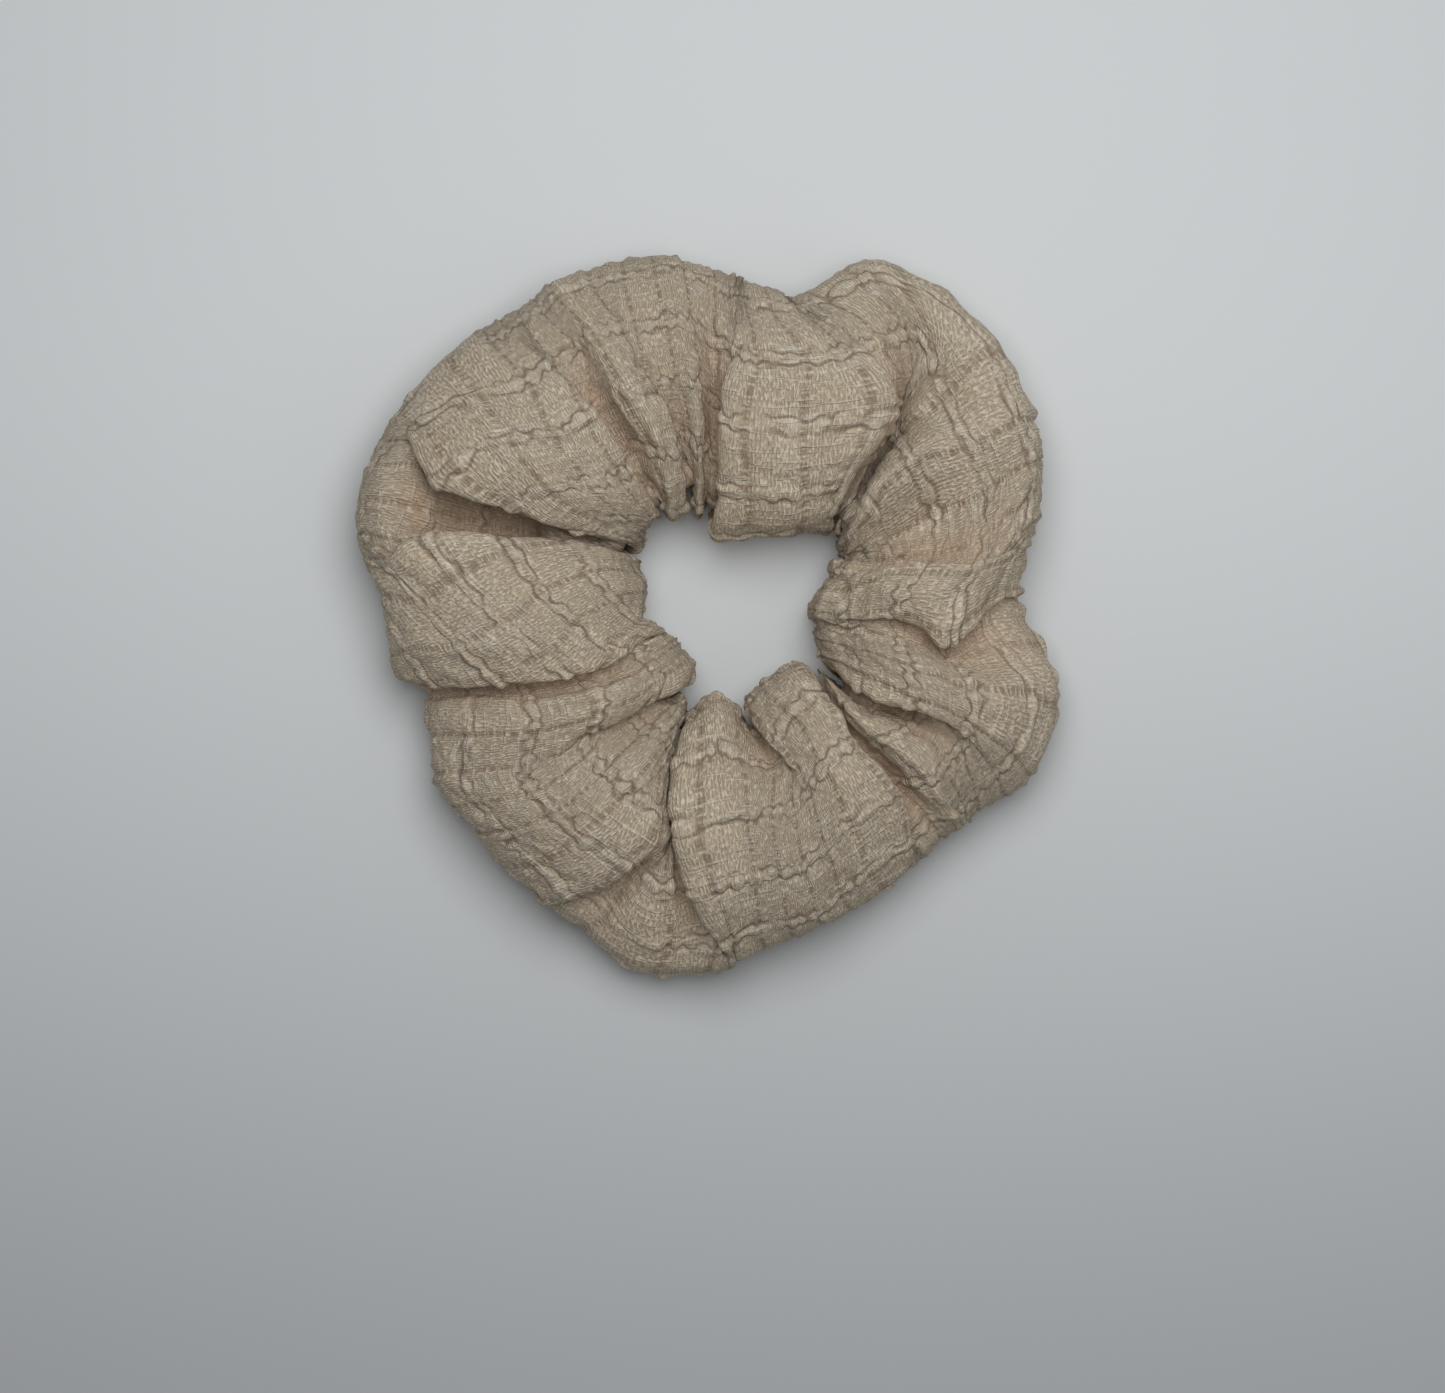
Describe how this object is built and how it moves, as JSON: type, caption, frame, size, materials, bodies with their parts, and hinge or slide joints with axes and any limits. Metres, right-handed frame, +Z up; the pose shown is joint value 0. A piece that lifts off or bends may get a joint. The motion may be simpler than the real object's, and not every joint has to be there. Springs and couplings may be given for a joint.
{
  "type": "scrunchie",
  "caption": "Gathered fabric tube round a ring of flat elastic: a hair tie lying flat and relaxed, that opens by stretching and springs back.",
  "frame": {"origin": "on the table, under the middle of the whole scrunchie", "axes": "+Z up out of the table, +X the way the two halves draw apart when it is stretched, +Y across them towards the closing seam"},
  "size_m": [0.1153, 0.118, 0.028],
  "materials": {
    "cover_fabric": "matte",
    "elastic": "matte",
    "thread": "satin"
  },
  "bodies": {
    "left_half": {"cover_puff_top_left": "cover_fabric", "cover_puff_upper_left": "cover_fabric", "cover_puff_left": "cover_fabric", "cover_puff_lower_left": "cover_fabric", "cover_puff_bottom_left": "cover_fabric", "elastic_band": "elastic", "elastic_lap_stitches": "thread", "long_seam_thread_left": "thread"},
    "right_half": {"cover_puff_bottom": "cover_fabric", "cover_puff_bottom_right": "cover_fabric", "cover_puff_lower_right": "cover_fabric", "cover_puff_right": "cover_fabric", "cover_puff_upper_right": "cover_fabric", "cover_puff_top": "cover_fabric", "long_seam_thread_right": "thread", "closing_seam_thread": "thread"}
  },
  "joints": [
    {"name": "stretch", "type": "slide", "parent": "left_half", "child": "right_half", "axis": [1, 0, 0], "range_m": [0, 0.07], "stiffness_N_per_m": 80, "deforming": ["elastic_band"]}
  ]
}
